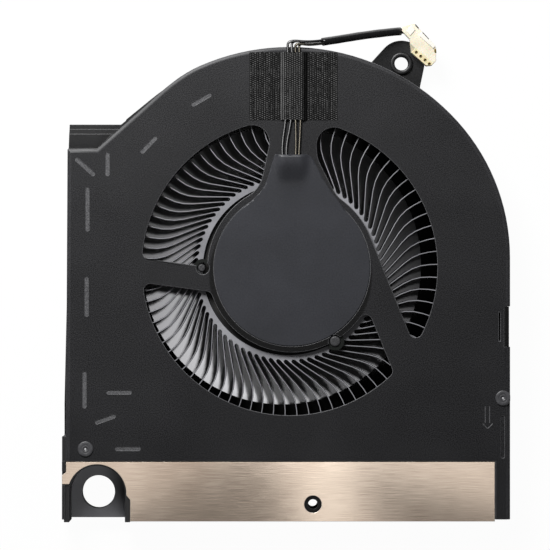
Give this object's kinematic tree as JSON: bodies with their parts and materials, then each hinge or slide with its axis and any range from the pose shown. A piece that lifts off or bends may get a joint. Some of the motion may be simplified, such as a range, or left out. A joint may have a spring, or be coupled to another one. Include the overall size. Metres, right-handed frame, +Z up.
{
  "type": "laptop cooling fan",
  "caption": "Flat laptop blower fan: curved-blade rotor in a scroll case, two outlets, sheet cover with three inlets, short wired plug.",
  "frame": {"origin": "on the axis of the corner mounting hole, in the plane of the underside", "axes": "+Z up out of the cover, along the rotor axis; +Y from the lower outlet towards the wires; +X from the left outlet towards the closed side"},
  "size_m": [0.0934, 0.1043, 0.0128],
  "materials": {
    "case_plastic": "moulded black plastic, lightly grained",
    "cover_paint": "dark charcoal coating with a fine satin grain",
    "plate_metal": "bronze tinted, brushed along its length",
    "grommet_rubber": "black moulded rubber",
    "blade_plastic": "dark grey moulded plastic",
    "yoke_steel": "drawn steel",
    "magnet_ferrite": "dark bonded ferrite",
    "shaft_steel": "ground steel",
    "ring_plastic": "white nylon",
    "tube_brass": "turned brass",
    "sleeve_bronze": "sintered bronze",
    "pad_plastic": "slippery white plastic",
    "core_steel": "stacked sheet steel",
    "insulator_plastic": "white plastic",
    "coil_copper": "enamelled copper wire",
    "board_laminate": "dark green coated laminate",
    "chip_epoxy": "black epoxy",
    "small_part_ceramic": "tan ceramic",
    "pin_plastic": "dark grey plastic",
    "label_film": "plain dark grey film",
    "wire_plastic": "black insulation",
    "sleeve_plastic": "black shrink sleeve",
    "tape_cloth": "black woven cloth",
    "plug_nylon": "cream nylon",
    "contact_metal": "plated contacts"
  },
  "bodies": {
    "housing": {"lower_case": "case_plastic", "top_cover": "cover_paint", "outlet_plate": "plate_metal", "ear_grommet": "grommet_rubber", "bearing_tube": "tube_brass", "bearing_sleeve": "sleeve_bronze", "thrust_pad": "pad_plastic", "tube_cap": "tube_brass", "stator_core": "core_steel", "lower_insulator": "insulator_plastic", "upper_insulator": "insulator_plastic", "coils": "coil_copper", "circuit_board": "board_laminate", "driver_chip": "chip_epoxy", "board_parts": "small_part_ceramic", "locating_pins": "pin_plastic", "hub_label": "label_film", "wire_1": "wire_plastic", "wire_2": "wire_plastic", "wire_3": "wire_plastic", "wire_4": "wire_plastic", "wire_sleeve": "sleeve_plastic", "cloth_tape": "tape_cloth", "connector_housing": "plug_nylon", "connector_contacts": "contact_metal"},
    "rotor": {"impeller": "blade_plastic", "rotor_yoke": "yoke_steel", "magnet_ring": "magnet_ferrite", "shaft": "shaft_steel", "retaining_ring": "ring_plastic"}
  },
  "joints": [
    {"name": "rotor_spin", "type": "hinge", "parent": "housing", "child": "rotor", "pos_m": [0.0399, 0.0467, 0.006], "axis": [0, 0, 1], "continuous": true}
  ]
}
